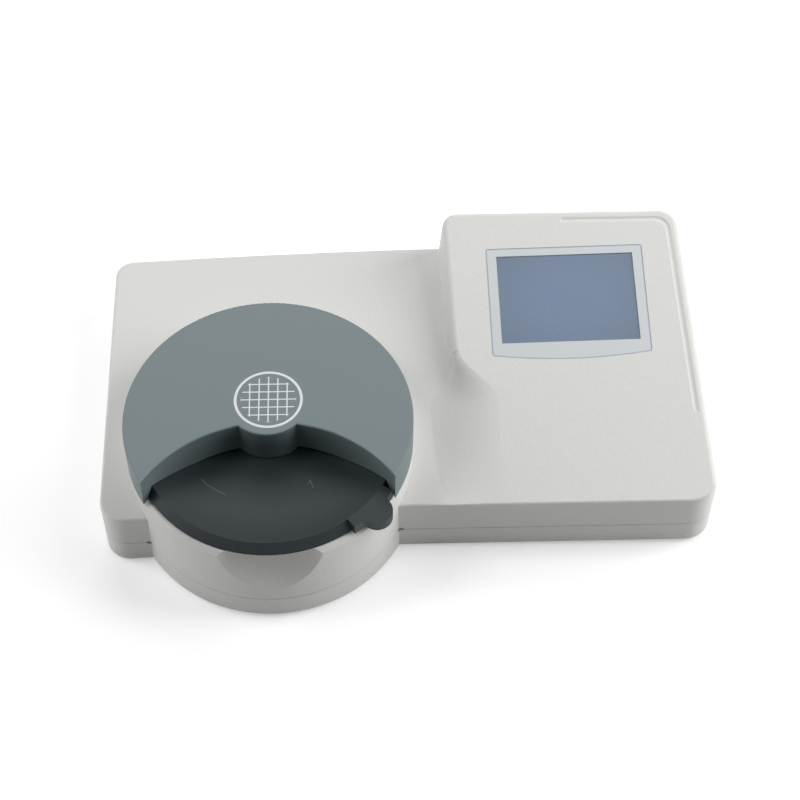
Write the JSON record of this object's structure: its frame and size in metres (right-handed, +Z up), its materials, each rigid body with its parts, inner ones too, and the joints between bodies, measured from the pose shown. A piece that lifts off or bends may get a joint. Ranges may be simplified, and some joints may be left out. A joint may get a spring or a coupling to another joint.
{
  "type": "sperm density meter",
  "caption": "Bench instrument with a round sample turret under a crescent cover and a raised wedge with a touch display.",
  "frame": {"origin": "centre of the bounding box in plan, on the bench under the rubber feet", "axes": "+X to the right seen from the user, +Y to the back, +Z up"},
  "size_m": [0.32, 0.217, 0.074],
  "materials": {
    "housing": "fine moulded texture, warm light grey",
    "cover": "satin, mid grey",
    "carousel": "satin, near black",
    "overlay": "satin film, pale blue grey",
    "panel_glass": "gloss",
    "display": "satin, blue grey",
    "frame_metal": "satin",
    "circuit_board": "satin",
    "screw_steel": "satin",
    "bearing_bronze": "satin",
    "black_plastic": "satin",
    "clear_lens": "gloss",
    "can_aluminium": "satin",
    "plated_shell": "satin",
    "foot_rubber": "matte"
  },
  "bodies": {
    "housing": {"top_shell": "housing", "base_shell": "housing", "lid_cover": "cover", "screen_overlay": "overlay", "touch_panel": "panel_glass", "display_module": "display", "display_frame": "frame_metal", "display_board": "circuit_board", "sensor_board": "circuit_board", "main_board": "circuit_board", "display_screws": "screw_steel", "sensor_board_screws": "screw_steel", "main_board_screws": "screw_steel", "case_screws": "screw_steel", "stop_pins": "screw_steel", "wave_washer": "screw_steel", "coin_cell": "screw_steel", "lower_bush": "bearing_bronze", "upper_bush": "bearing_bronze", "lamp_holder": "black_plastic", "detector_holder": "black_plastic", "detector": "black_plastic", "processor": "black_plastic", "coin_cell_holder": "black_plastic", "power_inlet": "black_plastic", "switch_body": "black_plastic", "beeper": "black_plastic", "lamp": "clear_lens", "optic_window": "clear_lens", "capacitors": "can_aluminium", "serial_port": "plated_shell", "jack_posts": "plated_shell", "rubber_feet": "foot_rubber"},
    "carousel": {"sample_disc": "carousel", "spindle": "screw_steel", "hub_screws": "screw_steel", "retaining_ring": "screw_steel", "position_magnet": "screw_steel"},
    "rocker": {"power_rocker": "black_plastic"}
  },
  "joints": [
    {"name": "disc_turn", "type": "hinge", "parent": "housing", "child": "carousel", "pos_m": [-0.0719, -0.0342, 0.0543], "axis": [0, 0, 1], "range_deg": [-90, 0]},
    {"name": "power_rock", "type": "hinge", "parent": "housing", "child": "rocker", "pos_m": [0.128, 0.1037, 0.044], "axis": [1, 0, 0], "range_deg": [0, 16]}
  ]
}
